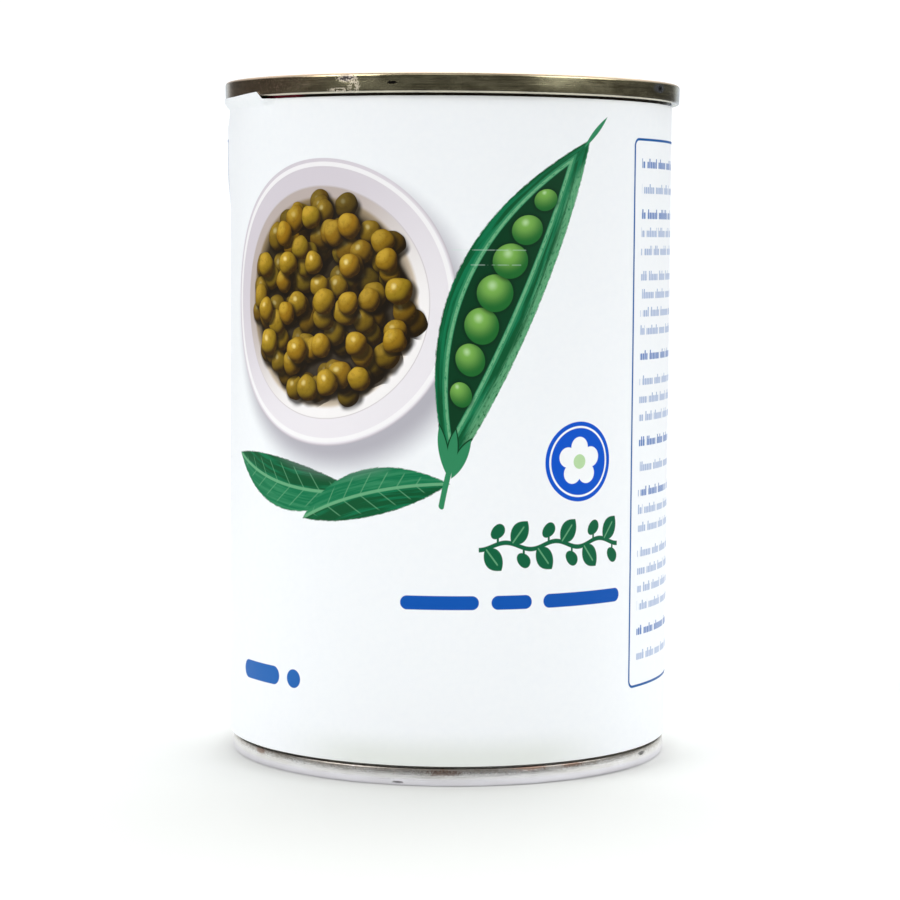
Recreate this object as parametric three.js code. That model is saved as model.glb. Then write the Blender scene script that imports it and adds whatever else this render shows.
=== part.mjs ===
// A shut food can of the common 73 mm size: a tube of tinplate closed by two double-seamed lids, with a
// paper label wrapped round it. Millimetres, +Z up. The can stands on its lower seam at Z = 0, on its axis.
// The label's front faces -Y, and angles round the can start there and grow towards +X.

import * as THREE from "three";

// Overall sizes
const canHeight = 111; // over both seams
const wallRadius = 36.2; // outside of the tin wall
const topSeamRadius = 37.8; // outside of the upper lid's seam
const bottomSeamRadius = 36.4; // drawn in, so that it sits in the mouth of another can's upper lid
const clearance = 0.3; // between the contents and the lids
const segments = 72; // round the tin

// A lid's seam, measured from its free edge
const topSeamHeight = 3.1;
const bottomSeamHeight = 2.85;
const seamThickness = 1.35;
const seamRounding = 0.35; // of the free edge on both sides, which leaves a narrow flat ring between
const seamTuck = 0.35; // the folded edge turns in by this much at the foot of the seam
const roundingSteps = 3;

// A lid's sunk panel
const countersinkDepth = 4.3; // from the seam's free edge down to the groove
const chuckWallLean = 0.55; // how far the inner wall leans towards the axis on its way down
const grooveWidth = 1.6;
const panelRise = 0.9; // the panel stands this far above the groove
const panelSlope = 0.7; // a pressed step takes this much radius
const lidPlate = 0.7; // what is left under the groove

// Rings pressed into the panel, so that it can bulge and go back
const ringSteps = 4;
const outerRingRadius = 30;
const ringPitch = 5.5;
const ringDepth = 0.5;

// The neck under the paper at the foot of the wall
const seamOverhang = topSeamRadius - wallRadius;
const neckRadius = bottomSeamRadius - seamOverhang;
const neckHeight = 2.2;

// Paper label
const paperThickness = 0.3;
const paperSlack = 0.15; // it lies this far off the tin
const labelTop = canHeight - topSeamHeight - 0.4;
const labelBottom = bottomSeamHeight + 0.4;
const labelSegments = 2 * segments;
const halfFacet = Math.PI / labelSegments;

// The label's upper edge has come loose at the left. It bends out, then up over the foot of the seam, and
// ends in a corner that stands higher still.
const flareFrom = THREE.MathUtils.degToRad(-87.5);
const riseFrom = THREE.MathUtils.degToRad(-82.5);
const looseFull = THREE.MathUtils.degToRad(-80);
const cornerFrom = THREE.MathUtils.degToRad(-70);
const looseCorner = THREE.MathUtils.degToRad(-55);
const looseTo = THREE.MathUtils.degToRad(-50);
const edgeFlare = 1.6; // how far its edge stands out from the label
const edgeRise = 0.7;
const cornerRise = 0.45; // over the rest of the loose edge
const bendHeight = 2.4; // the paper starts to bend this far below the edge
const bendShare = 0.6; // of the flare, reached half-way up the bend

const tinplate = new THREE.MeshStandardMaterial({ color: 0x8f8870, roughness: 0.35, metalness: 1 });
const paper = new THREE.MeshStandardMaterial({ color: 0xf1f4f8, roughness: 0.5, metalness: 0 });

// Turns a profile of radius and height round the Z axis.
function turned(profile, count = segments) {
  const points = profile.map(([radius, height]) => new THREE.Vector2(radius, height));
  return new THREE.LatheGeometry(points, count).rotateX(Math.PI / 2);
}

// Points of a quarter round, from one angle on, without its first point.
function quarterRound(centreRadius, centreHeight, startAngle) {
  return Array.from({ length: roundingSteps }, (_, step) => {
    const angle = startAngle + ((step + 1) / roundingSteps) * (Math.PI / 2);
    return [
      centreRadius + seamRounding * Math.cos(angle),
      centreHeight + seamRounding * Math.sin(angle),
    ];
  });
}

// The sunk panel from its outer edge to the axis, stepped up and down by the pressed rings.
function panelProfile(level) {
  const points = [];
  for (let ring = 0; ring < ringSteps; ring += 1) {
    const radius = outerRingRadius - ring * ringPitch;
    const before = ring % 2 === 0 ? level : level - ringDepth;
    const after = ring % 2 === 0 ? level - ringDepth : level;
    points.push([radius + panelSlope / 2, before], [radius - panelSlope / 2, after]);
  }
  points.push([0, level]);
  return points;
}

// One lid with its seam's free edge at height 0 and its underside below. The skirt is the stretch of tin
// wall that runs up into the seam.
function lidProfile(seamRadius, seamHeight) {
  const skirtRadius = seamRadius - seamOverhang;
  const underside = -countersinkDepth - lidPlate;
  const innerRadius = seamRadius - seamThickness;
  const grooveOuter = innerRadius - chuckWallLean;
  const grooveInner = grooveOuter - grooveWidth;
  return [
    [0, underside],
    [skirtRadius, underside],
    [skirtRadius, -seamHeight],
    [seamRadius - seamTuck, -seamHeight],
    [seamRadius, -seamHeight + seamTuck],
    [seamRadius, -seamRounding],
    ...quarterRound(seamRadius - seamRounding, -seamRounding, 0),
    [innerRadius + seamRounding, 0],
    ...quarterRound(innerRadius + seamRounding, -seamRounding, Math.PI / 2),
    [grooveOuter, -countersinkDepth],
    [grooveInner, -countersinkDepth],
    [grooveInner - panelSlope, -countersinkDepth + panelRise],
    ...panelProfile(-countersinkDepth + panelRise),
  ];
}

function topEnd() {
  return turned(lidProfile(topSeamRadius, topSeamHeight)).translate(0, 0, canHeight);
}

// The same lid turned over, which keeps its faces pointing out.
function bottomEnd() {
  return turned(lidProfile(bottomSeamRadius, bottomSeamHeight)).rotateX(Math.PI);
}

// Tin wall and contents as one solid between the lids.
function canBody() {
  const lidReach = countersinkDepth + lidPlate + clearance;
  return turned([
    [0, lidReach],
    [neckRadius, lidReach],
    [wallRadius, lidReach + neckHeight],
    [wallRadius, canHeight - lidReach],
    [0, canHeight - lidReach],
  ]);
}

// 0 up to one angle, 1 from another on, and a straight ramp between.
function ramp(angle, from, to) {
  return THREE.MathUtils.clamp((angle - from) / (to - from), 0, 1);
}

// 1 up to the loose corner and 0 after it.
function beforeCorner(angle) {
  return angle < looseCorner + halfFacet ? 1 : 0;
}

// How far the loose edge rises at an angle.
function riseAt(angle) {
  const rise = edgeRise * ramp(angle, riseFrom, looseFull);
  return beforeCorner(angle) * (rise + cornerRise * ramp(angle, cornerFrom, looseCorner));
}

// How far the loose edge stands out at an angle: it stays out until the corner is past.
function flareAt(angle) {
  return angle < looseTo - halfFacet ? edgeFlare * ramp(angle, flareFrom, looseFull) : 0;
}

// Bends the label's upper edge up and out over the seam along the loose stretch.
function loosenEdge(geometry) {
  const position = geometry.getAttribute("position");
  for (let index = 0; index < position.count; index += 1) {
    const x = position.getX(index);
    const y = position.getY(index);
    const z = position.getZ(index);
    const radius = Math.hypot(x, y);
    const angle = Math.atan2(x, -y);
    const bend = Math.max(0, (z - labelTop + bendHeight) / bendHeight);
    const flare = bend > 0 && bend < 1 ? bendShare : bend;
    const newRadius = radius + flare * flareAt(angle);
    position.setXYZ(
      index,
      (x * newRadius) / radius,
      (y * newRadius) / radius,
      z + bend * riseAt(angle),
    );
  }
  geometry.computeVertexNormals();
  return geometry;
}

function labelTube() {
  const inner = wallRadius + paperSlack;
  const outer = inner + paperThickness;
  const bendStart = labelTop - bendHeight;
  const bendMiddle = labelTop - bendHeight / 2;
  const tube = turned(
    [
      [inner, labelBottom],
      [outer, labelBottom],
      [outer, bendStart],
      [outer, bendMiddle],
      [outer, labelTop],
      [inner, labelTop],
      [inner, bendMiddle],
      [inner, bendStart],
      [inner, labelBottom],
    ],
    labelSegments,
  );
  return loosenEdge(tube);
}

function piece(name, geometry, material) {
  const mesh = new THREE.Mesh(geometry, material);
  mesh.name = name;
  return mesh;
}

const can = new THREE.Group();
can.add(
  piece("can_body", canBody(), tinplate),
  piece("top_end", topEnd(), tinplate),
  piece("bottom_end", bottomEnd(), tinplate),
  piece("label", labelTube(), paper),
);

export default can;
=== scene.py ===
"""A shut tinplate can of peas with a wrapped paper label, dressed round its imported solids.

Metres, +Z up. Angles round the can start at the front of the label, which faces -Y, and grow towards +X.
The label's print is laid out in millimetres: across is the distance along the paper from the front
line, positive towards +X, and up is the height over the floor.
"""

import math

import bpy
from mathutils import Matrix, Vector, noise


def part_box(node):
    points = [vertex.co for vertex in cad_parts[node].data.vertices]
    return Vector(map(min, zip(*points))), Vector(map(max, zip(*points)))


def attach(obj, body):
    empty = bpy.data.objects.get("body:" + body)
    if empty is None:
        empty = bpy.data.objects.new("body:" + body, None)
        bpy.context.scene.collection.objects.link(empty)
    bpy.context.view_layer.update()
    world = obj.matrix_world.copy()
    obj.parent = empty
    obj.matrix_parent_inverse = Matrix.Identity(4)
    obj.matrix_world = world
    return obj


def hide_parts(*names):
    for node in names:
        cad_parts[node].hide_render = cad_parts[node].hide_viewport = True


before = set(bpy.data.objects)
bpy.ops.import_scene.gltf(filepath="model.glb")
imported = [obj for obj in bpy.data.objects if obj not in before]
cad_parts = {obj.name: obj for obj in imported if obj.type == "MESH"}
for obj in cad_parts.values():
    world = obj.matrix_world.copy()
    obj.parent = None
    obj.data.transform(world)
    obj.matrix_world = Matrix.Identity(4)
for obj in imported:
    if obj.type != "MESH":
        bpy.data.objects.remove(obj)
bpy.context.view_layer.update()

MM = 0.001

# Sizes taken from the frame
CAN_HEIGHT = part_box("top_end")[1].z
TOP_SEAM_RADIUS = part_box("top_end")[1].x
BOTTOM_SEAM_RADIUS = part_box("bottom_end")[1].x
WALL_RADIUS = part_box("can_body")[1].x
LABEL_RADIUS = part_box("label")[1].x
LABEL_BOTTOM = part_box("label")[0].z

# Lids
TOP_SEAM_HEIGHT = 3.1 * MM
BOTTOM_SEAM_HEIGHT = 2.85 * MM
SEAM_THICKNESS = 1.35 * MM
SEAM_OVERHANG = TOP_SEAM_RADIUS - WALL_RADIUS
CROWN_ROUNDING = 0.5 * MM
TUCK_ROUNDING = 0.3 * MM
TOP_BELLY = 0.05 * MM  # how far a seam's outside draws in at its foot
BOTTOM_BELLY = 0.17 * MM
COUNTERSINK = 4.3 * MM
CHUCK_LEAN = 0.55 * MM  # of the seam's inner wall, on its way down to the groove
GROOVE_ROUNDING = 0.8 * MM
PANEL_RISE = 0.9 * MM  # from the groove
PANEL_SLOPE = 0.5 * MM
LID_PLATE = 0.7 * MM
RING_STEPS = 4
OUTER_RING = 30 * MM
RING_PITCH = 5.5 * MM
RING_DEPTH = 0.5 * MM
RING_SLOPE = 1.1 * MM
LID_COLUMNS = 720
ROLLING_WAVE = 0.02 * MM  # how far rolling leaves a seam uneven, in long waves and in short ripples
ROLLING_RIPPLE = 0.006 * MM

# Tin wall
CLEARANCE = 0.3 * MM  # from the lids
NECK_HEIGHT = 2.2 * MM
WALL_COLUMNS = 240

# Paper label
PAPER = 0.12 * MM
PAPER_LIE = LABEL_RADIUS - 0.10 * MM  # outside of the paper where it lies on the tin
LABEL_TOP = CAN_HEIGHT - TOP_SEAM_HEIGHT - 0.4 * MM
LAP_ANGLE = math.radians(167)
LAP_OVERLAP = math.radians(14)
LAP_STEP = math.radians(2)  # the upper layer climbs onto the lower one within this angle
LAP_RISE = PAPER + 0.02 * MM
PAPER_WAVE = 0.02 * MM
FLAT_ROWS = 40
BEND_ROWS = 14

# Where its upper edge has come loose. It bends out, then up over the seam's foot, and ends in a corner.
LOOSE_FROM = math.radians(-106)
LOOSE_FULL = math.radians(-88)
CORNER_FROM = math.radians(-70)
LOOSE_CORNER = math.radians(-55.3)
CORNER_FOOT = math.radians(-52.9)
LOOSE_TO = math.radians(-49.5)
EDGE_RISE = 0.7 * MM
CORNER_RISE = 0.45 * MM
EDGE_RADIUS = TOP_SEAM_RADIUS + 0.13 * MM
BEND_HEIGHT = 1.2 * MM
SLACK = 0.34 * MM  # the paper stands off the tin by this much more at the left
SLACK_ANGLE = math.radians(-85)
SLACK_SPREAD = math.radians(32)
BUCKLE = 0.85 * MM  # a swelling below the loose edge
BUCKLE_ANGLE = math.radians(-97)
BUCKLE_SPREAD = math.radians(13)
BUCKLE_LOW = 91 * MM
BUCKLE_HIGH = 107.5 * MM
BUCKLE_SLOPE = 4 * MM

# The camera that took the photo, in the can's frame
CAMERA_PLACE = Vector((0, -0.4458, 0.0859))
CAMERA_PITCH = math.radians(4.60)
CAMERA_ROLL = math.radians(0.41)
CAMERA_LENS = 106
SENSOR = 36


# ---- shader arithmetic


class Field:
    """A number that varies over a surface, so that shader maths can be written as arithmetic."""

    def __init__(self, source):
        self.source = source
        self.tree = source.id_data

    def __add__(self, other):
        return calculate("ADD", self, other)

    def __radd__(self, other):
        return calculate("ADD", other, self)

    def __sub__(self, other):
        return calculate("SUBTRACT", self, other)

    def __rsub__(self, other):
        return calculate("SUBTRACT", other, self)

    def __mul__(self, other):
        return calculate("MULTIPLY", self, other)

    def __truediv__(self, other):
        return calculate("DIVIDE", self, other)

    def __abs__(self):
        return calculate("ABSOLUTE", self)


def feed(socket, value):
    """Links an input to a field or to another socket, or sets it to a plain value."""
    source = value.source if isinstance(value, Field) else value
    if isinstance(source, bpy.types.NodeSocket):
        socket.id_data.links.new(source, socket)
    else:
        socket.default_value = source


def tree_of(*values):
    """The node tree of the first field among some values."""
    return next(value.tree for value in values if isinstance(value, Field))


def calculate(operation, *values):
    """One Math node over fields and plain numbers."""
    node = tree_of(*values).nodes.new("ShaderNodeMath")
    node.operation = operation
    for socket, value in zip(node.inputs, values):
        feed(socket, value)
    return Field(node.outputs[0])


def larger(a, b):
    """The larger of two values."""
    return calculate("MAXIMUM", a, b)


def smaller(a, b):
    """The smaller of two values."""
    return calculate("MINIMUM", a, b)


def whole(value):
    """The whole number below a value."""
    return calculate("FLOOR", value)


def length(a, b):
    """The length of a flat vector."""
    return calculate("SQRT", a * a + b * b)


def smooth(value, low, high):
    """0 below low, 1 above high, smooth between. Low may be the larger of the two."""
    node = value.tree.nodes.new("ShaderNodeMapRange")
    node.interpolation_type = "SMOOTHSTEP"
    flip = low > high
    feed(node.inputs["Value"], value)
    feed(node.inputs["From Min"], min(low, high))
    feed(node.inputs["From Max"], max(low, high))
    feed(node.inputs["To Min"], 1 if flip else 0)
    feed(node.inputs["To Max"], 0 if flip else 1)
    return Field(node.outputs["Result"])


def vector(x, y, z=0.0):
    """Three fields or numbers as one vector socket."""
    node = tree_of(x, y, z).nodes.new("ShaderNodeCombineXYZ")
    for socket, value in zip(node.inputs, (x, y, z)):
        feed(socket, value)
    return node.outputs[0]


def split_vector(source):
    """A vector socket as three fields."""
    node = source.id_data.nodes.new("ShaderNodeSeparateXYZ")
    feed(node.inputs[0], source)
    return [Field(output) for output in node.outputs]


def cloud(place, scale=1.0, detail=2.0, roughness=0.5):
    """Soft noise from 0 to 1."""
    node = place.id_data.nodes.new("ShaderNodeTexNoise")
    feed(node.inputs["Vector"], place)
    feed(node.inputs["Scale"], scale)
    feed(node.inputs["Detail"], detail)
    feed(node.inputs["Roughness"], roughness)
    return Field(node.outputs["Fac"])


def chance(value):
    """A steady random number from 0 to 1 for each value."""
    node = value.tree.nodes.new("ShaderNodeTexWhiteNoise")
    node.noise_dimensions = "1D"
    feed(node.inputs["W"], value)
    return Field(node.outputs["Value"])


def linear(red, green, blue):
    """A screen colour from 0 to 255 as the linear colour that shaders use."""

    def channel(value):
        share = value / 255
        if share <= 0.04045:
            return share / 12.92
        return ((share + 0.055) / 1.055) ** 2.4

    return (channel(red), channel(green), channel(blue), 1.0)


# A Mix node's colour sockets by number, because they share their names with its other sockets
MIX_FIRST = 6
MIX_SECOND = 7
MIX_RESULT = 2


def paint(under, colour, share):
    """Lays a colour over another where share is 1. Colours are sockets or linear values."""
    node = share.tree.nodes.new("ShaderNodeMix")
    node.data_type = "RGBA"
    feed(node.inputs["Factor"], share)
    feed(node.inputs[MIX_FIRST], under)
    feed(node.inputs[MIX_SECOND], colour)
    return node.outputs[MIX_RESULT]


def new_material(name):
    """A material, its Principled shader and the object's own coordinates."""
    material = bpy.data.materials.new(name)
    material.use_nodes = True
    nodes = material.node_tree.nodes
    coordinates = nodes.new("ShaderNodeTexCoord")
    return material, nodes["Principled BSDF"], coordinates.outputs["Object"]


def add_bump(shader, height, strength):
    """Raises the surface by a field in millimetres."""
    node = height.tree.nodes.new("ShaderNodeBump")
    feed(node.inputs["Distance"], MM)
    feed(node.inputs["Strength"], strength)
    feed(node.inputs["Height"], height)
    feed(shader.inputs["Normal"], node.outputs["Normal"])


# ---- printed shapes

EDGE = 0.06  # an inked edge fades over this many millimetres on both sides


def ink(distance, edge=EDGE):
    """1 inside a shape, 0 outside, from the distance to its outline."""
    return smooth(distance, edge, -edge)


def line(distance, half_width):
    """1 on a line, 0 away from it, from the distance to its middle."""
    return smooth(abs(distance), half_width + EDGE, half_width - EDGE)


def disc(across, up, centre, radius):
    """Distance to a circle, less than 0 inside it."""
    return length(across - centre[0], up - centre[1]) - radius


def bar(across, up, low, high, rounding):
    """A rounded bar between two corners."""
    wide = abs(across - (low[0] + high[0]) / 2) - ((high[0] - low[0]) / 2 - rounding)
    tall = abs(up - (low[1] + high[1]) / 2) - ((high[1] - low[1]) / 2 - rounding)
    corner = length(larger(wide, 0.0), larger(tall, 0.0))
    return corner + smaller(larger(wide, tall), 0.0) - rounding


def turned(across, up, centre, degrees):
    """The same point in a frame that is centred and turned."""
    cosine = math.cos(math.radians(degrees))
    sine = math.sin(math.radians(degrees))
    dx = across - centre[0]
    dy = up - centre[1]
    return dx * cosine + dy * sine, dy * cosine - dx * sine


def blade(along, aside, half_length, half_width):
    """A pointed leaf outline, where two circles overlap."""
    radius = (half_length**2 + half_width**2) / (2 * half_width)
    offset = radius - half_width
    return length(along, abs(aside) + offset) - radius


# ---- the label's print

WHITE = linear(250, 252, 254)
DEEP_GREEN = linear(4, 84, 46)
MID_GREEN = linear(10, 116, 74)
SOFT_GREEN = linear(48, 136, 92)
LIGHT_GREEN = linear(108, 176, 130)
PALE_GREEN = linear(186, 220, 168)
BLUE = linear(36, 102, 180)
DEEP_BLUE = linear(0, 84, 204)
PALE_BLUE = linear(104, 140, 196)

PLATE_CENTRE = (-21.5, 75.5)
PLATE_RADIUS = 22.5
RIM_INNER = 18.2
WELL_RADIUS = 16.4

PEA_CELL = 6.3  # one pea grows in each square of this size, in each layer
PEA_SHARE = 0.29  # the smallest pea's radius as a share of the square
PEA_GROWTH = 0.06  # the largest pea has this much more
PEA_JITTER = 0.36
PEA_TURNS = (12, 49, 80, 23, 63, 35, 5)  # degrees by which each layer's squares are turned
LAYER_SHIFT = (0.37, -0.37 * 1.7)  # each layer's squares are moved on by these shares of a square
HEAP_MARGIN = 0.5  # from the well's edge to the middle of the outermost pea in the lowest layer
HEAP_LEAN = 1.2  # the highest layer ends this much further in
LIGHT = (-0.46, 0.56)  # direction to the light in the printed picture: across and up
LIGHT_ALONG_PAPER = 0.72  # its length
LIGHT_OUT = 0.69


def pea_skin(gain, tone, lit, wrinkles, gleam):
    """Olive skin with a light side, a dark side, wrinkles and a gleam. Gain darkens it."""

    def dimmed(red, green, blue):
        return linear(red * gain, green * gain, blue * gain)

    skin = paint(dimmed(150, 108, 12), dimmed(152, 124, 24), tone)
    skin = paint(skin, dimmed(54, 34, 2), smooth(lit, 0.66, -0.1))
    skin = paint(skin, dimmed(200, 162, 52), smooth(lit, 0.62, 1.0))
    skin = paint(skin, dimmed(100, 72, 6), wrinkles * 0.22)
    return paint(skin, dimmed(248, 228, 150), gleam * 0.8)


def pea_layer(colour, along, aside, degrees, number, wrinkles, in_well):
    """Olive peas, one to a jittered square, shaded as balls that throw soft shadows on those below."""
    depth = number / (len(PEA_TURNS) - 1)
    shift_along = LAYER_SHIFT[0] * number
    shift_aside = LAYER_SHIFT[1] * number
    grid_along, grid_aside = turned(along, aside, (0, 0), degrees)
    grid_along = grid_along / PEA_CELL + shift_along
    grid_aside = grid_aside / PEA_CELL + shift_aside
    cells = along.tree.nodes.new("ShaderNodeTexVoronoi")
    cells.voronoi_dimensions = "2D"
    feed(cells.inputs["Scale"], 1)
    feed(cells.inputs["Randomness"], PEA_JITTER)
    feed(cells.inputs["Vector"], vector(grid_along, grid_aside))
    middle_along, middle_aside, _ = split_vector(cells.outputs["Position"])
    own_size, own_tone, own_glint = split_vector(cells.outputs["Color"])

    radius = own_size * PEA_GROWTH + PEA_SHARE
    east = (grid_along - middle_along) / radius
    north = (grid_aside - middle_aside) / radius
    out = length(east, north)
    facing = calculate("SQRT", larger(1 - out * out, 0.0))
    light_east, light_north = turned(*LIGHT, (0, 0), degrees)
    lit = east * light_east + north * light_north + facing * LIGHT_OUT

    own_along = (middle_along - shift_along) * PEA_CELL
    own_aside = (middle_aside - shift_aside) * PEA_CELL
    from_centre = length(own_along, own_aside)
    there = calculate("LESS_THAN", from_centre, WELL_RADIUS - HEAP_MARGIN - HEAP_LEAN * depth)
    shade = smooth(length(east + light_east * 0.42, north + light_north * 0.42), 1.35, 0.9)
    colour = paint(colour, linear(22, 13, 2), shade * there * in_well * 0.88)

    gleam = smooth(length(east - light_east * 0.66, north - light_north * 0.66), 0.30, 0.04)
    gleam = gleam * smooth(own_glint, 0.2, 0.7)
    skin = pea_skin(0.56 + 0.44 * depth, own_tone, lit, wrinkles, gleam)
    return paint(colour, skin, smooth(out, 1.02, 0.96) * there)


def print_plate(colour, across, up):
    """A round white plate seen from above, which throws a soft shadow and is dark in its well."""
    along = across - PLATE_CENTRE[0]
    aside = up - PLATE_CENTRE[1]
    out = length(along, aside)
    towards_light = (along * LIGHT[0] + aside * LIGHT[1]) / (out + 0.001) / LIGHT_ALONG_PAPER

    shadow = smooth(length(along - 1.9, aside + 2.9), PLATE_RADIUS + 3.2, PLATE_RADIUS - 2.4)
    colour = paint(colour, linear(160, 156, 168), shadow * 0.8)
    rim = paint(linear(240, 236, 241), linear(216, 209, 217), smooth(towards_light, -0.8, 0.9))
    rim = paint(rim, linear(253, 252, 253), line(out - PLATE_RADIUS + 0.9, 0.35) * 0.8)
    edge_shade = smooth(out, PLATE_RADIUS - 0.5, PLATE_RADIUS) * smooth(towards_light, 0.6, -0.4)
    rim = paint(rim, linear(180, 172, 182), edge_shade * 0.8)
    colour = paint(colour, rim, ink(out - PLATE_RADIUS))
    slope_tone = paint(linear(250, 247, 247), linear(190, 177, 172), smooth(towards_light, -0.7, 0.7))
    colour = paint(colour, slope_tone, smooth(out, RIM_INNER + 0.2, RIM_INNER - 0.2))
    colour = paint(colour, linear(206, 198, 202), line(out - RIM_INNER, 0.08) * 0.7)
    well = paint(linear(214, 198, 178), linear(150, 130, 98), smooth(towards_light, -0.6, 0.8))
    colour = paint(colour, well, smooth(out, WELL_RADIUS + 0.4, WELL_RADIUS - 0.4))
    return paint(colour, linear(30, 21, 4), smooth(out, WELL_RADIUS + 0.2, WELL_RADIUS - 2.2) * 0.95)


def print_heap(colour, across, up):
    """A heap of olive peas in the plate's well."""
    along = across - PLATE_CENTRE[0]
    aside = up - PLATE_CENTRE[1]
    in_well = smooth(length(along, aside), RIM_INNER - 0.1, RIM_INNER - 1.5)
    wobble = cloud(vector(across * 0.3, up * 0.3), 1.0, 1.0)
    bend = cloud(vector(across * 0.3 + 31.0, up * 0.3), 1.0, 1.0)
    wrinkles = smooth(cloud(vector(across * 1.3, up * 1.3), 1.0, 3.0, 0.6), 0.50, 0.38)
    shaky_along = along + (wobble - 0.5) * 1.1
    shaky_aside = aside + (bend - 0.5) * 1.1
    for number, degrees in enumerate(PEA_TURNS):
        colour = pea_layer(colour, shaky_along, shaky_aside, degrees, number, wrinkles, in_well)
    return colour


def brushed(along, aside):
    """Streaks along a painted shape, and the grain that makes its edge ragged."""
    streaks = cloud(vector(along * 0.07, aside * 1.3), 1.0, 3.0, 0.6)
    grain = cloud(vector(along * 1.1, aside * 3.6), 1.0, 2.0, 0.7)
    return streaks, grain


POD_CENTRE = (8.6, 76.5)
POD_LEAN = 66  # degrees from level
POD_PEAS = 7
POD_PEA_PITCH = 5.5
POD_PEA_RADIUS = 2.9  # of the middle one


def pod_peas(colour, along, aside):
    """A row of round green peas, largest in the middle."""
    for number in range(POD_PEAS):
        reach = number - POD_PEAS // 2
        radius = POD_PEA_RADIUS - 0.12 * reach * reach
        middle = (reach * POD_PEA_PITCH, 0.3)
        ball = disc(along, aside, middle, radius)
        lit = disc(along, aside, (middle[0] + 0.9, middle[1] + 0.9), radius * 0.55)
        colour = paint(colour, linear(1, 38, 18), smooth(ball, 0.8, -0.4))
        skin = paint(linear(30, 104, 44), linear(128, 182, 84), smooth(lit, 1.9, -1.2))
        skin = paint(skin, PALE_GREEN, smooth(lit, -0.5, -radius * 0.55) * 0.8)
        colour = paint(colour, skin, ink(ball))
    return colour


def print_pod(colour, across, up):
    """An open pea pod, brushed in greens, that leans to the right of the plate."""
    along, aside = turned(across, up, POD_CENTRE, POD_LEAN)
    aside = aside + along * along * 0.0060 - 1.6
    outer = blade(along, aside, 28.5, 7.0)
    across_brush = outer + smooth(aside, -0.4, 0.4) * 20
    streaks, grain = brushed(along, across_brush)
    ragged = (grain - 0.5) * 0.4

    inside = ink(outer + ragged, 0.12)
    body = paint(DEEP_GREEN, MID_GREEN, smooth(streaks, 0.42, 0.58))
    colour = paint(colour, body, inside)
    pale_side = smooth(outer + (streaks - 0.5) * 3.0, -1.9, -0.5) * smooth(aside, -1.0, -2.6)
    colour = paint(colour, LIGHT_GREEN, pale_side * smooth(grain, 0.26, 0.52) * inside * 0.8)

    mouth = blade(along, aside - 0.5, 23.0, 4.1)
    colour = paint(colour, SOFT_GREEN, ink(mouth - 0.9 + ragged * 0.5, 0.12))
    colour = paint(colour, LIGHT_GREEN, line(mouth - 0.35, 0.22) * smooth(grain, 0.3, 0.5))
    colour = paint(colour, linear(2, 58, 30), ink(mouth))
    colour = pod_peas(colour, along, aside)

    stem = bar(along, aside + (along + 27) * 0.16, (-34.0, -0.45), (-26.0, 0.45), 0.44)
    sepal_along, sepal_aside = turned(along, abs(aside), (-25.6, 1.5), 20)
    calyx = smaller(blade(sepal_along, sepal_aside, 3.6, 0.8), blade(along + 25.2, aside, 3.4, 0.8))
    tip = blade(along - 30.0, aside, 3.2, 0.45)
    colour = paint(colour, linear(2, 58, 30), ink(calyx - 0.2) * inside)
    return paint(colour, SOFT_GREEN, ink(smaller(smaller(stem, calyx), tip)))


def print_leaf(colour, across, up, centre, degrees, half_length, half_width):
    """A brushed two-tone leaf with a light midrib and side veins."""
    along, aside = turned(across, up, centre, degrees)
    aside = aside + along * along * 0.009
    streaks, grain = brushed(along, aside)
    outline = blade(along, aside, half_length, half_width) + (grain - 0.5) * 0.4
    upper = paint(MID_GREEN, SOFT_GREEN, smooth(streaks, 0.42, 0.6))
    lower = paint(DEEP_GREEN, MID_GREEN, smooth(streaks, 0.46, 0.62))
    colour = paint(colour, paint(upper, lower, smooth(aside, 0.1, -0.1)), ink(outline, 0.12))
    phase = calculate("FRACT", (along - abs(aside) * 0.9) / 3.1)
    vein = smooth(abs(phase - 0.5), 0.06, 0.02) * smooth(outline, -0.5, -1.1)
    colour = paint(colour, LIGHT_GREEN, vein * 0.5)
    midrib = smooth(abs(aside), 0.32, 0.16) * smooth(outline, 0.0, -0.3)
    return paint(colour, LIGHT_GREEN, midrib * 0.9)


def print_leaves(colour, across, up):
    """Two leaves side by side under the plate, the left one first."""
    colour = print_leaf(colour, across, up, (-29.5, 46.5), degrees=171, half_length=14.5, half_width=4.0)
    return print_leaf(colour, across, up, (-13.0, 46.0), degrees=14, half_length=13.0, half_width=3.7)


BADGE_CENTRE = (21.7, 50.8)
BADGE_RADIUS = 6.3
BADGE_RING = 5.45
PETALS = 5
PETAL_REACH = 2.3  # from the badge's centre to a petal's
PETAL_RADIUS = 1.6


def print_badge(colour, across, up):
    """A plain round badge with a thin white ring and a five-petalled blossom."""
    colour = paint(colour, DEEP_BLUE, ink(disc(across, up, BADGE_CENTRE, BADGE_RADIUS)))
    colour = paint(colour, WHITE, line(disc(across, up, BADGE_CENTRE, BADGE_RING), 0.16))
    for petal in range(PETALS):
        turn = math.radians(90 + 360 / PETALS * petal)
        petal_across = BADGE_CENTRE[0] + PETAL_REACH * math.cos(turn)
        petal_up = BADGE_CENTRE[1] + PETAL_REACH * math.sin(turn)
        colour = paint(colour, WHITE, ink(disc(across, up, (petal_across, petal_up), PETAL_RADIUS)))
    return paint(colour, PALE_GREEN, ink(disc(across, up, BADGE_CENTRE, 1.15)))


SPRIG_LEFT = 4.6
SPRIG_LENGTH = 25.5
SPRIG_UP = 37.9
SPRIG_PITCH = 4.25


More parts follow.
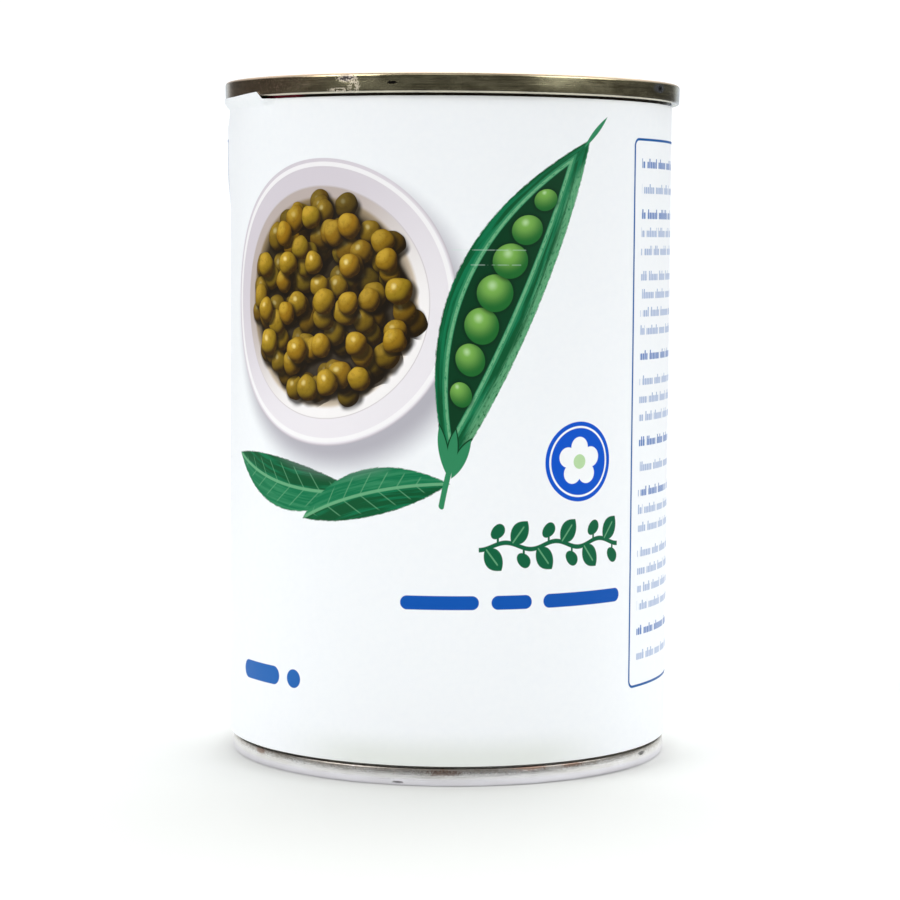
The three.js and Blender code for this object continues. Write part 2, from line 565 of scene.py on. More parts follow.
def print_sprig(colour, across, up):
    """A winding green stem with leaves and peas on alternate sides."""
    reach = (across - SPRIG_LEFT) / SPRIG_PITCH
    number = whole(reach)
    side = calculate("MODULO", number, 2.0) * 2 - 1
    along = (reach - number - 0.5) * SPRIG_PITCH
    wave = calculate("SINE", (reach - 0.5) * math.pi) * 0.55
    aside = (up - SPRIG_UP - wave) * side
    from_middle = abs(across - SPRIG_LEFT - SPRIG_LENGTH / 2)
    inside = ink(from_middle - SPRIG_LENGTH / 2)

    stem = abs(aside) - 0.36
    leaf_along, leaf_aside = turned(along, aside, (0.2, 2.1), 60)
    leaf = blade(leaf_along, leaf_aside, 2.6, 1.25)
    pea = disc(along, aside, (0.9, -2.0), 1.15)
    stalk = larger(abs(along - 0.9) - 0.18, abs(aside + 0.6) - 0.7)
    shape = smaller(smaller(stem, leaf), smaller(pea, stalk))
    colour = paint(colour, linear(7, 97, 62), ink(shape) * inside)
    vein = line(leaf_aside, 0.10) * smooth(leaf_along, 1.6, 1.2)
    return paint(colour, LIGHT_GREEN, vein * ink(leaf + 0.2) * inside * 0.8)


PILLS_LEFT = -7.7
PILLS_FOOT = 27.95
PILLS_TOP = 30.15
PILL_LENGTHS = (12.4, 6.6, 15.4)
PILL_GAP = 2.0


def print_pills(colour, across, up):
    """Three blue pills of uneven length in a row."""
    start = PILLS_LEFT
    for pill_length in PILL_LENGTHS:
        end = start + pill_length
        pill = bar(across, up, (start, PILLS_FOOT), (end, PILLS_TOP), 1.08)
        colour = paint(colour, linear(4, 84, 178), ink(pill))
        start = end + PILL_GAP
    return colour


def print_pill_and_dot(colour, across, up):
    """A short blue pill and a dot, low at the left."""
    mark = smaller(
        bar(across, up, (-41.4, 13.9), (-30.6, 16.9), 1.48),
        disc(across, up, (-27.2, 15.4), 1.5),
    )
    return paint(colour, BLUE, ink(mark))


PANELS = ((33.8, 103.0), (109.5, 176.0))  # left and right side of each
PANEL_TOP = 101.6
PANEL_FOOT = 13.5
PANEL_MARGIN = 2.2
FIRST_ROW_TOP = PANEL_TOP - 2.5
LAST_ROW_FOOT = PANEL_FOOT + 3.5
ROW_PITCH = 2.9
BLOCK_ENDS = (1, 2, 5, 9, 10, 13)  # a section's blocks end after these rows
BOLD_ROWS = (0, 2, 9)  # rows of a section that start with bolder strokes
BLOCK_GAP = 1.15
SECTION = BLOCK_ENDS[-1] * ROW_PITCH + len(BLOCK_ENDS) * BLOCK_GAP
BOLD_REACH = (7.0, 9)  # least length of the bolder strokes in a row, and how much longer they can be
GROUP_PITCH = 4.6
STROKE_PITCH = 0.66


def nearest_break(value, seed):
    """Distance to the nearest of some unevenly spaced breaks along a line."""
    cells = value.tree.nodes.new("ShaderNodeTexVoronoi")
    cells.voronoi_dimensions = "1D"
    cells.feature = "DISTANCE_TO_EDGE"
    feed(cells.inputs["Scale"], 1)
    feed(cells.inputs["W"], value + seed)
    return Field(cells.outputs["Distance"])


def panel_rows(depth):
    """The section at a depth in a panel, and its rows so far, which stand still between blocks."""
    section = whole(depth / SECTION)
    below = depth - section * SECTION
    printed = below
    for number, end in enumerate(BLOCK_ENDS):
        gap_start = end * ROW_PITCH + number * BLOCK_GAP
        printed = printed - smaller(larger(below - gap_start, 0.0), BLOCK_GAP)
    return section, printed / ROW_PITCH


def uneven_strokes(across, in_row, row):
    """Upright strokes of uneven height, in groups of uneven length."""
    groups = smooth(nearest_break(across / GROUP_PITCH, row * 7.31), 0.055, 0.085)
    stroke = across / STROKE_PITCH + row * 3.7
    number = whole(stroke)
    within = smooth(abs(stroke - number - 0.5), 0.34, 0.20)
    tall = smooth(chance(number), 0.70, 0.74) * 0.17
    above = smooth(in_row - tall, 0.68, 0.64)
    below = smooth(in_row, 0.28, 0.32)
    haze = smooth(abs(in_row - 0.48), 0.19, 0.15)
    return groups * larger(within * above * below, haze * 0.42)


def print_panel(colour, across, up, left, right):
    """A blue frame round rows of small strokes, of which some start bolder."""
    outline = bar(across, up, (left, PANEL_FOOT), (right, PANEL_TOP), 1.1)
    colour = paint(colour, linear(8, 88, 160), line(outline, 0.2))
    section, rows = panel_rows(FIRST_ROW_TOP - up)
    row = whole(rows)
    in_row = 1 - (rows - row)
    bold_row = sum(smooth(abs(row - number), 0.3, 0.2) for number in BOLD_ROWS)
    own = chance(row + section * 17 + left)
    start = left + PANEL_MARGIN
    end = (1 - own * own * own * 0.75) * (right - left - 2 * PANEL_MARGIN) + start
    within_row = smooth(across, start - 0.05, start + 0.05) * smooth(across - end, 0.05, -0.05)
    under_top = smooth(up, FIRST_ROW_TOP, FIRST_ROW_TOP - 0.1)
    over_foot = smooth(up, LAST_ROW_FOOT, LAST_ROW_FOOT + 0.1)
    bold_end = start + BOLD_REACH[0]
    bold = bold_row * smooth(across - own * BOLD_REACH[1], bold_end + 0.1, bold_end)
    strokes = uneven_strokes(across, in_row, row + section * 5) * within_row * under_top * over_foot
    return paint(colour, paint(PALE_BLUE, BLUE, bold), strokes * (bold * 0.25 + 0.75))


def print_panels(colour, across, up):
    """Two framed panels, which cover the right side, the back and the left side."""
    circumference = 2 * math.pi * LABEL_RADIUS / MM
    behind = across + smooth(across, 0.001, -0.001) * circumference
    for left, right in PANELS:
        colour = print_panel(colour, behind, up, left, right)
    return colour


SCRATCHES = ((-0.5, 11.8, 83.9), (3.0, 11.0, 81.6))  # start, end and height of each
SCRATCH_HALF_WIDTH = 0.09


def print_scratches(colour, across, up):
    """Two faint light rubs across the front."""
    broken = smooth(cloud(vector(across * 0.9, up * 0.2)), 0.34, 0.48)
    for start, end, level in SCRATCHES:
        low = (start, level - SCRATCH_HALF_WIDTH)
        high = (end, level + SCRATCH_HALF_WIDTH)
        rub = bar(across, up, low, high, 0.08)
        colour = paint(colour, linear(200, 228, 214), ink(rub) * broken * 0.3)
    return colour


def print_foot_shade(colour, across, up):
    """Painted shade: a faint grey darkening along the paper's foot, at the front."""
    # Painted shade, darkest at the paper's foot and fading upwards and to the sides
    foot_shade = smooth(up, 9.5, 4.0) * smooth(abs(across), 32, 12)
    return paint(colour, linear(228, 232, 226), foot_shade * 0.8)


# The printed things that reach into each zone of the label. Every zone has a material of its own.
PRINT_ZONES = {
    "label_heap": (print_plate, print_heap),
    "label_picture": (print_plate, print_pod, print_scratches),
    "label_middle": (print_leaves, print_plate, print_pod, print_badge, print_sprig),
    # The foot zone also gets painted shade along the paper's foot
    "label_foot": (print_pills, print_pill_and_dot, print_foot_shade),
    "label_panels": (print_panels,),
    "label_back": (),
}
# Borders of the zones. What is printed across a border is listed for both of its zones.
FRONT_LEFT = -49
FRONT_RIGHT = 32.3
PICTURE_FOOT = 59
MIDDLE_FOOT = 31.6


def print_zone(across, up):
    """The zone of a place on the label's outer face."""
    if not FRONT_LEFT < across < FRONT_RIGHT:
        return "label_panels"
    beside_plate = abs(across - PLATE_CENTRE[0])
    over_plate = abs(up - PLATE_CENTRE[1])
    if beside_plate < RIM_INNER + 0.25 and over_plate < RIM_INNER + 1.5:
        return "label_heap"
    if up > PICTURE_FOOT:
        return "label_picture"
    return "label_middle" if up > MIDDLE_FOOT else "label_foot"


def label_material(name, prints):
    """Coated white paper with the things that are printed on one zone of it."""
    material, shader, place = new_material(name)
    x, y, z = split_vector(place)
    across = calculate("ARCTAN2", x, 0 - y) * (LABEL_RADIUS / MM)
    up = z * 1000

    mottle = cloud(place, 900, 3)
    colour = paint(WHITE, linear(244, 247, 251), mottle)
    for draw in prints:
        colour = draw(colour, across, up)
    feed(shader.inputs["Base Color"], colour)

    fibre = cloud(place, 5200, 3)
    ripple = cloud(place, 70, 2)
    feed(shader.inputs["Roughness"], mottle * 0.10 + 0.40)
    feed(shader.inputs["Specular IOR Level"], 0.14)
    add_bump(shader, fibre * 0.004 + ripple * 0.06, 0.6)
    return material


# ---- tinplate


# Middles of some marks on the seams: angle in degrees, and height over the floor in millimetres
LEFT_PIT = (-14.2, 109.45)
RIGHT_PIT = (61.9, 109.8)
SIDE_NICK = (60.8, 2.0)


def spot(angle, up, degrees, level, half_width, half_height):
    """1 at the outline of an oval mark on a seam, less inside. Millimetres but for the angles."""
    wide = (angle - math.radians(degrees)) * (TOP_SEAM_RADIUS / MM / half_width)
    tall = (up - level) / half_height
    return length(wide, tall)


def mark_top_seam(colour, roughness, angle, up, specks):
    """The upper seam's scuff, two pits, brown mottling at the left, and painted highlights: a lighter patch
    at the right and a pale band along its foot.
    """
    reddish = smooth(spot(angle, up, -58, 109.6, 14, 3.0), 1.5, 0.4)
    colour = paint(colour, linear(192, 158, 128), reddish * 0.55)
    colour = paint(colour, linear(232, 196, 172), reddish * smooth(specks, 0.52, 0.64) * 0.7)
    # A lighter patch at the right: painted highlight where the seam shows a broad reflection, also a little
    # rougher
    highlight_patch = smooth(spot(angle, up, 27, 109.9, 5.5, 1.6), 1.5, 0.3)
    colour = paint(colour, linear(214, 210, 172), highlight_patch * 0.3)
    rubbed = spot(angle, up, -25.6, 110.2, 1.6, 0.55)
    tail = smaller(spot(angle, up, -23.8, 109.0, 0.9, 0.85), spot(angle, up, -27.6, 108.45, 1.8, 0.25))
    colour = paint(colour, linear(162, 150, 164), smooth(rubbed + (specks - 0.5) * 2.4, 1.0, 0.5) * 0.6)
    scuff = smaller(rubbed, tail) + (specks - 0.5) * 3.4
    flecks = smooth(abs(scuff - 0.9), 0.40, 0.2) * smooth(specks, 0.42, 0.52)
    colour = paint(colour, linear(208, 196, 184), flecks * 0.7)
    blue_patch = smooth(spot(angle, up, 61.4, 109.85, 2.2, 0.8) + (specks - 0.5), 1.1, 0.7)
    colour = paint(colour, linear(176, 186, 206), blue_patch * 0.6)
    pits = smaller(spot(angle, up, *LEFT_PIT, 0.7, 0.3), spot(angle, up, *RIGHT_PIT, 0.8, 0.4))
    pits = smooth(pits + (specks - 0.5) * 2.8, 1.25, 0.75)
    colour = paint(colour, linear(20, 18, 16), pits)
    # A pale neutral band along the seam's foot: painted highlight for the bright line its rounded tuck
    # reflects
    colour = paint(colour, linear(206, 202, 194), smooth(up, 108.35, 108.15) * 0.6)
    crown = smooth(up, 110.5, 110.8)
    colour = paint(colour, linear(196, 174, 152), crown * 0.8)
    return colour, roughness + flecks * 0.3 + highlight_patch * 0.06 + pits * 0.3 + crown * 0.2


def mark_bottom_seam(colour, roughness, angle, up, specks):
    """The lower seam: lighter low down, a painted reflection of the floor; darker brown towards the label,
    painted shade; rust stains and a few small nicks.
    """
    # Lighter and lavender low down: painted reflection of the pale floor
    colour = paint(colour, linear(238, 235, 246), smooth(up, 1.5, 0.9) * 0.6)
    # Darker brown towards the label: painted shade under the paper's edge, made ragged by the specks
    shade_under_label = smooth(up + (specks - 0.5) * 1.6, 1.6, 2.8)
    colour = paint(colour, linear(118, 106, 88), shade_under_label * 0.75)
    front = smaller(spot(angle, up, 21, 2.6, 3.2, 0.4), spot(angle, up, 33, 2.5, 2.4, 0.35))
    left = smaller(spot(angle, up, -1, 2.2, 2.8, 0.5), spot(angle, up, -57, 2.3, 1.6, 0.5))
    rust = smooth(smaller(front, left) + (specks - 0.5) * 3.2, 1.1, 0.6)
    colour = paint(colour, linear(124, 78, 50), rust * 0.6)
    nick = smaller(spot(angle, up, -12.5, 0.55, 1.0, 0.2), spot(angle, up, *SIDE_NICK, 1.3, 0.3))
    colour = paint(colour, linear(62, 60, 60), smooth(nick + (specks - 0.5) * 1.2, 1.2, 0.6) * 0.8)
    return colour, roughness + shade_under_label * 0.1


def no_marks(colour, roughness, angle, up, specks):
    """For tinplate without marks of its own."""
    return colour, roughness


def shade_gap(colour, radius, angle, up):
    """Paints shade into the gap between paper and wall under the upper seam, with a red stretch at the
    left.
    """
    beside_wall = smooth(radius, 36.75, 36.45) * smooth(radius, 36.1, 36.15)
    seam_foot = (CAN_HEIGHT - TOP_SEAM_HEIGHT) / MM
    gap = beside_wall * smooth(abs(up - seam_foot), 0.6, 0.5)
    # Painted shade in the gap between paper and wall under the upper seam
    colour = paint(colour, linear(48, 40, 40), gap * 0.9)
    seeped = gap * smooth(abs(angle + math.radians(48)), math.radians(9), math.radians(5))
    return paint(colour, linear(190, 50, 84), seeped * 0.8)


def tin_material(name, dull, bright, add_marks=no_marks, seam_radius=WALL_RADIUS):
    """Tinplate: streaks round the seam, rolling grain across the panel, mottled tone, specks, marks and
    painted shade in the gap under the upper seam.

    The marks lie on the outer half of the seam, whose radius is given.
    """
    material, shader, place = new_material(name)
    x, y, z = (field * 1000 for field in split_vector(place))
    radius = length(x, y)
    angle = calculate("ARCTAN2", x, 0 - y)

    on_seam = smooth(radius, 34.4, 34.7)
    streaks = cloud(vector(x * 0.10, y * 0.10, z * 7.0), 1.0, 4, 0.65)
    grain = cloud(vector(x * 0.10, y * 6.0, z * 0.2), 1.0, 4, 0.6)
    lines = streaks * on_seam + grain * (1 - on_seam)
    patches = cloud(vector(x * 0.16, y * 0.16, z * 0.5), 1.0, 4, 0.6)
    tone = smooth(patches * 0.65 + lines * 0.35, 0.38, 0.62)
    colour = paint(dull, bright, tone)

    specks = cloud(place, 2300, 2, 0.7)
    rub = smooth(specks, 0.68, 0.76) * smooth(patches, 0.46, 0.6)
    colour = paint(colour, linear(208, 200, 184), rub * 0.15)
    stain = smooth(specks, 0.34, 0.26) * smooth(lines, 0.5, 0.4)
    colour = paint(colour, linear(84, 62, 40), stain * 0.6)
    # Painted shade in the gap under the upper seam
    colour = shade_gap(colour, radius, angle, z)
    roughness = lines * 0.14 + patches * 0.10 + rub * 0.06 + 0.09

    seam_middle = (seam_radius - SEAM_THICKNESS / 2) / MM
    outside = smooth(radius, seam_middle, seam_middle + 0.2)
    marked, marked_roughness = add_marks(colour, roughness, angle, z, specks)
    colour = paint(colour, marked, outside)
    roughness = roughness + (marked_roughness - roughness) * outside

    feed(shader.inputs["Base Color"], colour)
    feed(shader.inputs["Roughness"], roughness)
    feed(shader.inputs["Metallic"], 1.0)
    add_bump(shader, lines * 0.012 + specks * 0.006 + patches * 0.03, 0.8)
    return material


# ---- meshes


def mesh_object(name, vertices, faces, materials, face_slots=(), sharp_degrees=40):
    """An object from points and faces. Without face slots, all faces have the first material."""
    mesh = bpy.data.meshes.new(name)
    mesh.from_pydata(vertices, [], faces)
    mesh.update()
    mesh.shade_smooth()
    mesh.set_sharp_from_angle(angle=math.radians(sharp_degrees))
    for material in materials:
        mesh.materials.append(material)
    for face, face_slot in zip(mesh.polygons, face_slots):
        face.material_index = face_slot
    piece = bpy.data.objects.new(name, mesh)
    bpy.context.scene.collection.objects.link(piece)
    return piece


def on_circle(angle, radius, height):
    """The point at an angle round the can."""
    return (radius * math.sin(angle), -radius * math.cos(angle), height)


def eased(share):
    """0 up to 0, 1 from 1 on, and soft between."""
    share = min(1.0, max(0.0, share))
    return share * share * (3 - 2 * share)


def arc(centre_radius, centre_height, rounding, start, end, steps):
    """Points of a round stretch of profile, both ends included. Angles are in degrees."""
    points = []
    for step in range(steps + 1):
        turn = math.radians(start + (end - start) * step / steps)
        radius = centre_radius + rounding * math.cos(turn)
        points.append((radius, centre_height + rounding * math.sin(turn)))
    return points


def slope(first, last, steps):
    """Points of a soft step between two profile points, without the first."""
    points = []
    for step in range(1, steps + 1):
        share = step / steps
        radius = first[0] + (last[0] - first[0]) * share
        points.append((radius, first[1] + (last[1] - first[1]) * eased(share)))
    return points


def as_drawn(angle, radius, height):
    """Leaves a lathe's point where its profile has it."""
    return radius, height


def lathe(name, profile, columns, material, place):
    """Turns a profile that starts and ends on the axis. Place moves each (angle, radius, height)."""
    vertices = [(0.0, 0.0, profile[0][1]), (0.0, 0.0, profile[-1][1])]
    ring_points = profile[1:-1]
    for radius, height in ring_points:
        for column in range(columns):
            angle = 2 * math.pi * column / columns
            vertices.append(on_circle(angle, *place(angle, radius, height)))
    faces = []
    for column in range(columns):
        after = (column + 1) % columns
        faces.append((0, 2 + after, 2 + column))
        for row in range(len(ring_points) - 1):
            below = 2 + row * columns
            above = below + columns
            faces.append((below + column, below + after, above + after, above + column))
        last = 2 + (len(ring_points) - 1) * columns
        faces.append((1, last + column, last + after))
    return mesh_object(name, vertices, faces, [material])


def panel_profile(level):
    """The lid's panel from its outer edge to the axis, with its pressed rings."""
    points = []
    for ring in range(RING_STEPS):
        radius = OUTER_RING - ring * RING_PITCH
        before = level if ring % 2 == 0 else level - RING_DEPTH
        after = level - RING_DEPTH if ring % 2 == 0 else level
        start = (radius + RING_SLOPE / 2, before)
        points.append(start)
        points.extend(slope(start, (radius - RING_SLOPE / 2, after), 6))
    points.append((3 * MM, level))
    points.append((0.0, level))
    return points


def seam_wall(seam_radius, seam_height, belly, steps=12):
    """The outside of the seam, which draws in more and more towards its foot."""
    low = -seam_height + TUCK_ROUNDING
    high = -CROWN_ROUNDING
    points = []
    for step in range(1, steps):
        share = step / steps
        points.append((seam_radius - belly * (1 - share) ** 2, low + (high - low) * share))
    return points


def lid_profile(seam_radius, seam_height, belly):
    """One lid with the free edge of its seam at height 0, from under its middle round to the panel."""
    skirt = seam_radius - SEAM_OVERHANG
    underside = -COUNTERSINK - LID_PLATE
    inner = seam_radius - SEAM_THICKNESS
    groove_outer = inner - CHUCK_LEAN
    groove_middle = groove_outer - GROOVE_ROUNDING
    groove_inner = groove_outer - 2 * GROOVE_ROUNDING
    groove_height = -COUNTERSINK + GROOVE_ROUNDING
    foot = seam_radius - belly
    panel = -COUNTERSINK + PANEL_RISE
    points = [(0.0, underside), (skirt, underside), (skirt, -seam_height)]
    points += arc(foot - TUCK_ROUNDING, -seam_height + TUCK_ROUNDING, TUCK_ROUNDING, -90, 0, 6)
    points += seam_wall(seam_radius, seam_height, belly)
    points += arc(seam_radius - CROWN_ROUNDING, -CROWN_ROUNDING, CROWN_ROUNDING, 0, 90, 8)
    points += arc(inner + CROWN_ROUNDING, -CROWN_ROUNDING, CROWN_ROUNDING, 90, 180, 8)
    points += arc(groove_middle, groove_height, GROOVE_ROUNDING, 0, -180, 10)
    points += slope((groove_inner, groove_height), (groove_inner - PANEL_SLOPE, panel), 4)
    points += panel_profile(panel)
    return points


# Dents in the seams: angle in degrees, then height over the floor, half width, half height and depth in
# millimetres
TOP_DENTS = (
    (*LEFT_PIT, 0.5, 0.25, 0.02),
    (*RIGHT_PIT, 0.6, 0.4, 0.08),
    (-25.4, 110.0, 1.7, 0.7, 0.05),
    (-3.0, 110.6, 5.0, 0.8, 0.03),
)
BOTTOM_DENTS = (
    (-12.5, 0.5, 0.7, 0.25, 0.12),
    (*SIDE_NICK, 1.2, 0.3, 0.06),
    (20.6, 2.6, 2.5, 0.4, 0.05),
)


def dent_depth(dents, angle, radius, height):
    """How deep the dents are at a point."""
    total = 0.0
    for degrees, level, half_width, half_height, depth in dents:
        turn = (angle - math.radians(degrees) + math.pi) % (2 * math.pi) - math.pi
        wide = turn * radius / (half_width * MM)
        tall = (height - level * MM) / (half_height * MM)
        total += depth * MM * math.exp(-(wide * wide + tall * tall))
    return total


def uneven(angle, height, seed, fineness):
    """Noise from -1 to 1 that closes on itself round the can."""
    point = Vector((math.sin(angle) * fineness, -math.cos(angle) * fineness, height / (4 * MM) + seed))
    return noise.noise(point)


def handled(dents, seam_radius, seed):
    """Moves a lid's points as rolling and handling do, never out of the true outline."""

    def place(angle, radius, height):
        if radius < seam_radius - SEAM_THICKNESS - CHUCK_LEAN:
            return radius, height
        pressed = dent_depth(dents, angle, radius, height)
        wave = ROLLING_WAVE * (1 + uneven(angle, height, seed, 9))
        ripple = ROLLING_RIPPLE * (1 + uneven(angle, height, seed + 5, 60))
        return radius - pressed - wave - ripple, height

    return place


def build_top_end():
    """The upper lid with its seam."""
    profile = [
        (radius, height + CAN_HEIGHT)
        for radius, height in lid_profile(TOP_SEAM_RADIUS, TOP_SEAM_HEIGHT, TOP_BELLY)
    ]
    dull = linear(150, 142, 110)
    bright = linear(198, 190, 154)
    material = tin_material("top_end_tinplate", dull, bright, mark_top_seam, TOP_SEAM_RADIUS)
    place = handled(TOP_DENTS, TOP_SEAM_RADIUS, 3.0)
    piece = lathe("top_lid", profile, LID_COLUMNS, material, place)
    finish_piece(piece, "top_end")


def build_bottom_end():
    """The lower lid with its seam: a lid turned over."""
    profile = [
        (radius, -height)
        for radius, height in reversed(lid_profile(BOTTOM_SEAM_RADIUS, BOTTOM_SEAM_HEIGHT, BOTTOM_BELLY))
    ]
    dull = linear(226, 223, 220)
    bright = linear(246, 245, 246)
    material = tin_material("bottom_end_tinplate", dull, bright, mark_bottom_seam, BOTTOM_SEAM_RADIUS)
    place = handled(BOTTOM_DENTS, BOTTOM_SEAM_RADIUS, 11.0)
    piece = lathe("bottom_lid", profile, LID_COLUMNS, material, place)
    finish_piece(piece, "bottom_end")


def build_body():
    """The tin wall, necked in at the foot, with flat ends hidden behind the lids."""
    reach = COUNTERSINK + LID_PLATE + CLEARANCE
    neck_radius = BOTTOM_SEAM_RADIUS - SEAM_OVERHANG
    neck_start = (neck_radius, BOTTOM_SEAM_HEIGHT + CLEARANCE)
    neck_end = (WALL_RADIUS, reach + NECK_HEIGHT)
    end_radius = neck_radius - CLEARANCE
    wall_foot = BOTTOM_SEAM_HEIGHT + 0.1 * MM
    profile = [(0.0, reach), (end_radius, reach), (end_radius, wall_foot), neck_start]
    profile += slope(neck_start, neck_end, 14)
    profile += [(WALL_RADIUS, CAN_HEIGHT - reach), (0.0, CAN_HEIGHT - reach)]
    material = tin_material("wall_tinplate", linear(170, 164, 150), linear(210, 206, 196))
    piece = lathe("tin_wall", profile, WALL_COLUMNS, material, as_drawn)
    finish_piece(piece, "can_body")


def ramp(value, low, high):
    """0 below low, 1 above high, straight between."""
    return min(1.0, max(0.0, (value - low) / (high - low)))


def rise_at(angle):
    """How far the label's loose edge rises: over the seam's foot, more at its corner, and back after it."""
    rise = EDGE_RISE * eased(ramp(angle, LOOSE_FROM, LOOSE_FULL))
    rise += CORNER_RISE * ramp(angle, CORNER_FROM, LOOSE_CORNER) ** 1.4
    return rise * (1 - ramp(angle, LOOSE_CORNER, CORNER_FOOT))


def flare_share(angle):
    """How much of its flare the loose edge has. It closes after the corner."""
    opening = eased(ramp(angle, LOOSE_FROM, LOOSE_FULL))
    return opening * (1 - eased(ramp(angle, CORNER_FOOT, LOOSE_TO)))


def widest(angle):
    """The greatest radius that stays within the seam's own width at the sides."""
    return (TOP_SEAM_RADIUS - 0.01 * MM) / max(0.5, abs(math.sin(angle)))


def slack_at(angle, height):
    """How far the paper stands off the tin at the left, with a swelling below its loose edge."""
    slack = SLACK * math.exp(-(((angle - SLACK_ANGLE) / SLACK_SPREAD) ** 2))
    buckle = BUCKLE * math.exp(-(((angle - BUCKLE_ANGLE) / BUCKLE_SPREAD) ** 2))
    buckle *= eased(ramp(height, BUCKLE_LOW, BUCKLE_LOW + BUCKLE_SLOPE))
    buckle *= 1 - eased(ramp(height, BUCKLE_HIGH - BUCKLE_SLOPE, BUCKLE_HIGH))
    return slack + buckle


def label_angles():
    """Angles of the sheet's columns from its inner to its outer end, closer at the loose edge."""
    coarse = math.radians(0.75)
    fine = math.radians(0.25)
    angles = [LAP_ANGLE - LAP_OVERLAP - 2 * math.pi]
    while angles[-1] < LAP_ANGLE - 1e-6:
        close = LOOSE_FROM - coarse < angles[-1] < LOOSE_TO
        angles.append(min(LAP_ANGLE, angles[-1] + (fine if close else coarse)))
    return angles


def label_shares():
    """Shares of the paper's height, closer together where its upper edge bends."""
    bend_from = 1 - BEND_HEIGHT / (LABEL_TOP - LABEL_BOTTOM)
    lower = [bend_from * step / FLAT_ROWS for step in range(FLAT_ROWS)]
    upper = [bend_from + (1 - bend_from) * step / BEND_ROWS for step in range(BEND_ROWS + 1)]
    return lower + upper


def flat_height(share):
    """The height of a place on the sheet, had its upper edge not come loose."""
    return LABEL_BOTTOM + (LABEL_TOP - LABEL_BOTTOM) * share


def label_point(angle, share, side):
    """A point of the sheet: share runs up the paper, and side is 0 on the inner face and 1 on the outer."""
    height = flat_height(share)
    bend = (height - LABEL_TOP + BEND_HEIGHT) / BEND_HEIGHT
    lap = eased((angle - LAP_ANGLE + LAP_OVERLAP + LAP_STEP) / LAP_STEP)
    radius = PAPER_LIE + slack_at(angle, height) + lap * LAP_RISE
    radius += PAPER_WAVE * uneven(angle, height / 5, 20, 3)
    radius += (EDGE_RADIUS - radius) * eased(1.25 * bend) * flare_share(angle)
    radius = min(radius, widest(angle))
    height += rise_at(angle) * eased(bend)
    return on_circle(angle, radius - PAPER * (1 - side), height)


def around(column, row):
    """The four corners of a cell of the sheet, seen from outside."""
    return ((column, row), (column + 1, row), (column + 1, row + 1), (column, row + 1))


def build_label():
    """One sheet of paper with a glued lap behind, closed all round as a thin solid."""
    angles = label_angles()
    shares = label_shares()
    rows = len(shares)
    layer = len(angles) * rows
    vertices = []
    for side in (1, 0):
        for angle in angles:
            vertices.extend(label_point(angle, share, side) for share in shares)

    def corner(face, column, row):
        return face * layer + column * rows + row

    def strip(first, second, flip):
        """A face across the paper's thickness between two neighbouring points of its rim."""
        loop = (corner(0, *first), corner(0, *second), corner(1, *second), corner(1, *first))
        return tuple(reversed(loop)) if flip else loop

    printed = []
    plain = []
    face_zones = []
    last_column = len(angles) - 1
    for column in range(last_column):
        across = (angles[column] + angles[column + 1]) / 2 * LABEL_RADIUS / MM
        for row in range(rows - 1):
            up = flat_height((shares[row] + shares[row + 1]) / 2) / MM
            face_zones.append(print_zone(across, up))
            printed.append(tuple(corner(0, *place) for place in around(column, row)))
            plain.append(tuple(corner(1, *place) for place in reversed(around(column, row))))
        plain.append(strip((column, 0), (column + 1, 0), True))
        plain.append(strip((column, rows - 1), (column + 1, rows - 1), False))
    for row in range(rows - 1):
        plain.append(strip((0, row), (0, row + 1), False))
        plain.append(strip((last_column, row), (last_column, row + 1), True))

    zones = list(PRINT_ZONES)
    materials = [label_material(name, prints) for name, prints in PRINT_ZONES.items()]
    face_slots = [zones.index(zone) for zone in face_zones] + [zones.index("label_back")] * len(plain)
    piece = mesh_object("paper_label", vertices, printed + plain, materials, face_slots)
    finish_piece(piece, "label")


def finish_piece(piece, node):
    """Lets a piece ride on the can, and hides the imported part that it stands for."""
    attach(piece, "root")
    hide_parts(node)


# ---- studio

FLOOR_RADIUS = 0.42
FLOOR_COLUMNS = 96


def build_floor():
    """A round white floor, which is staging and no part of the can."""
    rim = [on_circle(2 * math.pi * step / FLOOR_COLUMNS, FLOOR_RADIUS, 0) for step in range(FLOOR_COLUMNS)]
    material, shader, _ = new_material("floor_white")
    feed(shader.inputs["Base Color"], (0.80, 0.81, 0.79, 1))
    feed(shader.inputs["Roughness"], 0.9)
    feed(shader.inputs["Specular IOR Level"], 0.1)
    mesh_object("studio_floor", rim, [tuple(range(FLOOR_COLUMNS))], [material])


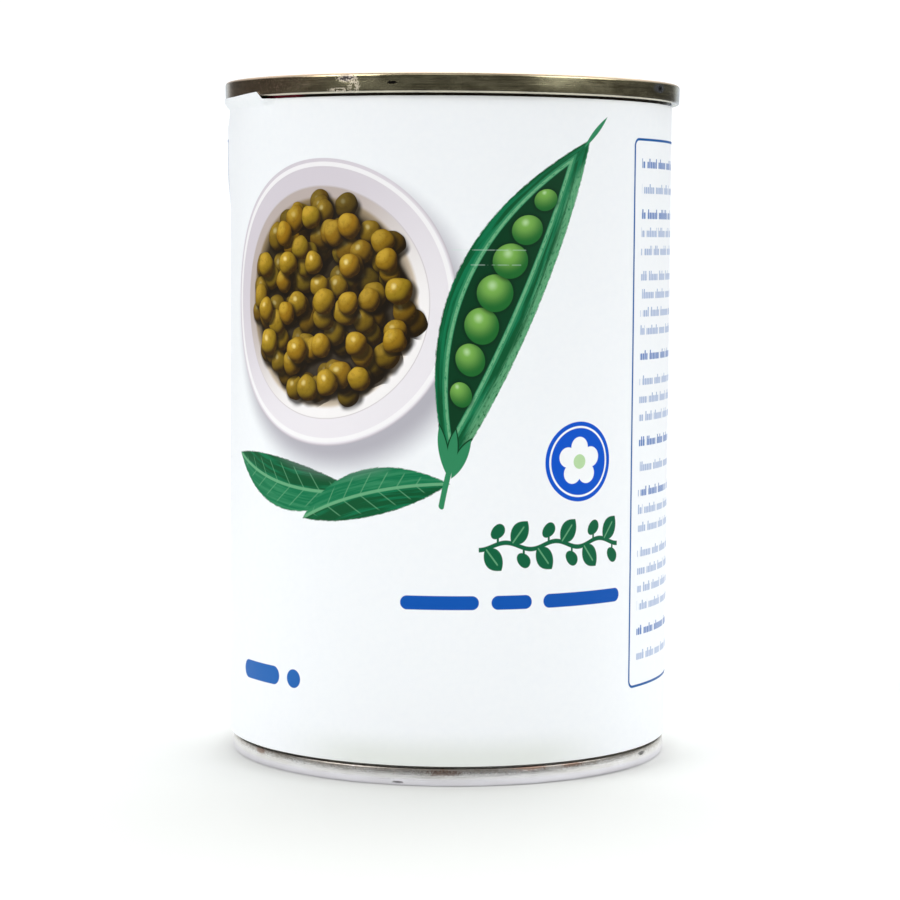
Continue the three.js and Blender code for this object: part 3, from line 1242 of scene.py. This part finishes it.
def build_sky():
    """A studio sky: bright overhead, dim near the horizon, pale behind the can, and white to look at."""
    world = bpy.data.worlds.new("studio")
    bpy.context.scene.world = world
    world.use_nodes = True
    nodes = world.node_tree.nodes
    background = nodes["Background"]
    coordinates = nodes.new("ShaderNodeTexCoord")
    _, backwards, rise = split_vector(coordinates.outputs["Generated"])
    overhead = smooth(rise, 0.24, 0.62)
    backdrop = smooth(backwards, 0.84, 0.96) * smooth(rise, -0.35, -0.1) * (1 - overhead)
    light = overhead * (smooth(backwards, -0.1, 0.6) * 1.35 + 0.25) + backdrop * 0.9 + 0.10
    seen = Field(nodes.new("ShaderNodeLightPath").outputs["Is Camera Ray"])
    tint = paint((0.98, 0.99, 1.0, 1), (0.86, 0.95, 1.08, 1), backdrop * (1 - seen))
    feed(background.inputs["Color"], tint)
    feed(background.inputs["Strength"], light + seen * (1.1 - light))


def add_softbox(name, place, target, size, power):
    """A rectangular lamp that faces a target."""
    lamp = bpy.data.lights.new(name, "AREA")
    lamp.shape = "RECTANGLE"
    lamp.size = size[0]
    lamp.size_y = size[1]
    lamp.energy = power
    softbox = bpy.data.objects.new(name, lamp)
    softbox.location = place
    direction = Vector(target) - Vector(place)
    softbox.rotation_euler = direction.to_track_quat("-Z", "Y").to_euler()
    bpy.context.scene.collection.objects.link(softbox)


def build_camera():
    """The photo's camera, fitted to the can's outlines in it."""
    camera_data = bpy.data.cameras.new("photo_camera")
    camera_data.lens = CAMERA_LENS
    camera_data.sensor_width = SENSOR
    camera_data.sensor_fit = "HORIZONTAL"
    camera_data.clip_start = 0.01
    camera_data.clip_end = 50
    camera_data.dof.use_dof = False
    camera = bpy.data.objects.new("photo_camera", camera_data)
    forward = Vector((0, math.cos(CAMERA_PITCH), -math.sin(CAMERA_PITCH)))
    level = Vector((1, 0, 0))
    upright = level.cross(forward)
    right = level * math.cos(CAMERA_ROLL) + upright * math.sin(CAMERA_ROLL)
    up = upright * math.cos(CAMERA_ROLL) - level * math.sin(CAMERA_ROLL)
    turn = Matrix((right, up, -forward)).transposed()
    camera.matrix_world = Matrix.Translation(CAMERA_PLACE) @ turn.to_4x4()
    bpy.context.scene.collection.objects.link(camera)
    bpy.context.scene.camera = camera


build_camera()
build_sky()
build_floor()
add_softbox("key_left", (-1.12, -0.7, 0.76), (0, 0, 0.05), (0.9, 0.6), 11.2)
add_softbox("key_right", (1.2, -0.55, 0.70), (0, 0, 0.05), (1.2, 0.6), 10)
add_softbox("front_fill", (0, -1.1, 0.75), (0, 0, 0.05), (0.9, 0.5), 1.2)
add_softbox("top_back", (0.1, 0.5, 1.0), (0, 0, 0), (1.0, 1.0), 5.2)
build_body()
build_top_end()
build_bottom_end()
build_label()

bpy.context.scene.view_settings.view_transform = "Standard"
